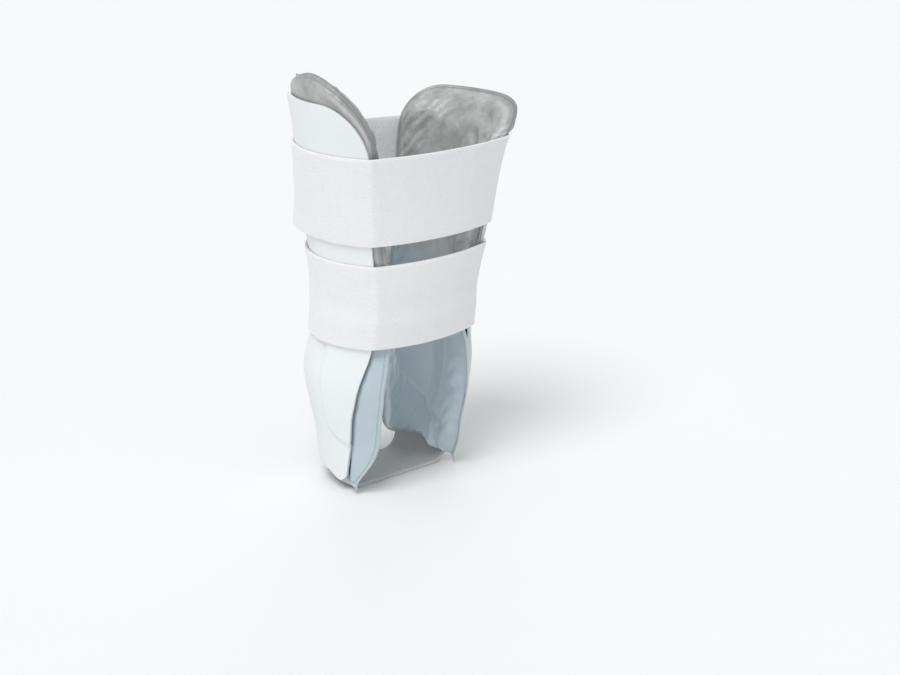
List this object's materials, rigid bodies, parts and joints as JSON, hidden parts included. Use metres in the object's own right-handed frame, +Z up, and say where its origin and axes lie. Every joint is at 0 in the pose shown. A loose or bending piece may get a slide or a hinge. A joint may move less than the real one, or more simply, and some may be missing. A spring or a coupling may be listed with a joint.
{
  "type": "air ankle brace",
  "caption": "Stirrup ankle brace: two moulded shells lined with air pads, a heel strap under the heel and wide fabric straps round the leg.",
  "frame": {"origin": "middle of the underside of the heel strap, which the brace stands on", "axes": "+Z up the leg, -Y towards the toes, +X towards the medial shell"},
  "size_m": [0.1334, 0.1082, 0.248],
  "materials": {
    "shell_plastic": "smooth white moulded plastic with a soft sheen",
    "pad_vinyl": "light blue-grey vinyl film with welded rims",
    "strap_pile": "white brushed loop-pile strap fabric",
    "heel_webbing": "white woven webbing"
  },
  "bodies": {
    "root": {"lateral_shell": "shell_plastic", "medial_shell": "shell_plastic", "lateral_air_pad": "pad_vinyl", "medial_air_pad": "pad_vinyl", "upper_strap": "strap_pile", "lower_strap": "strap_pile", "heel_strap": "heel_webbing"}
  },
  "joints": []
}
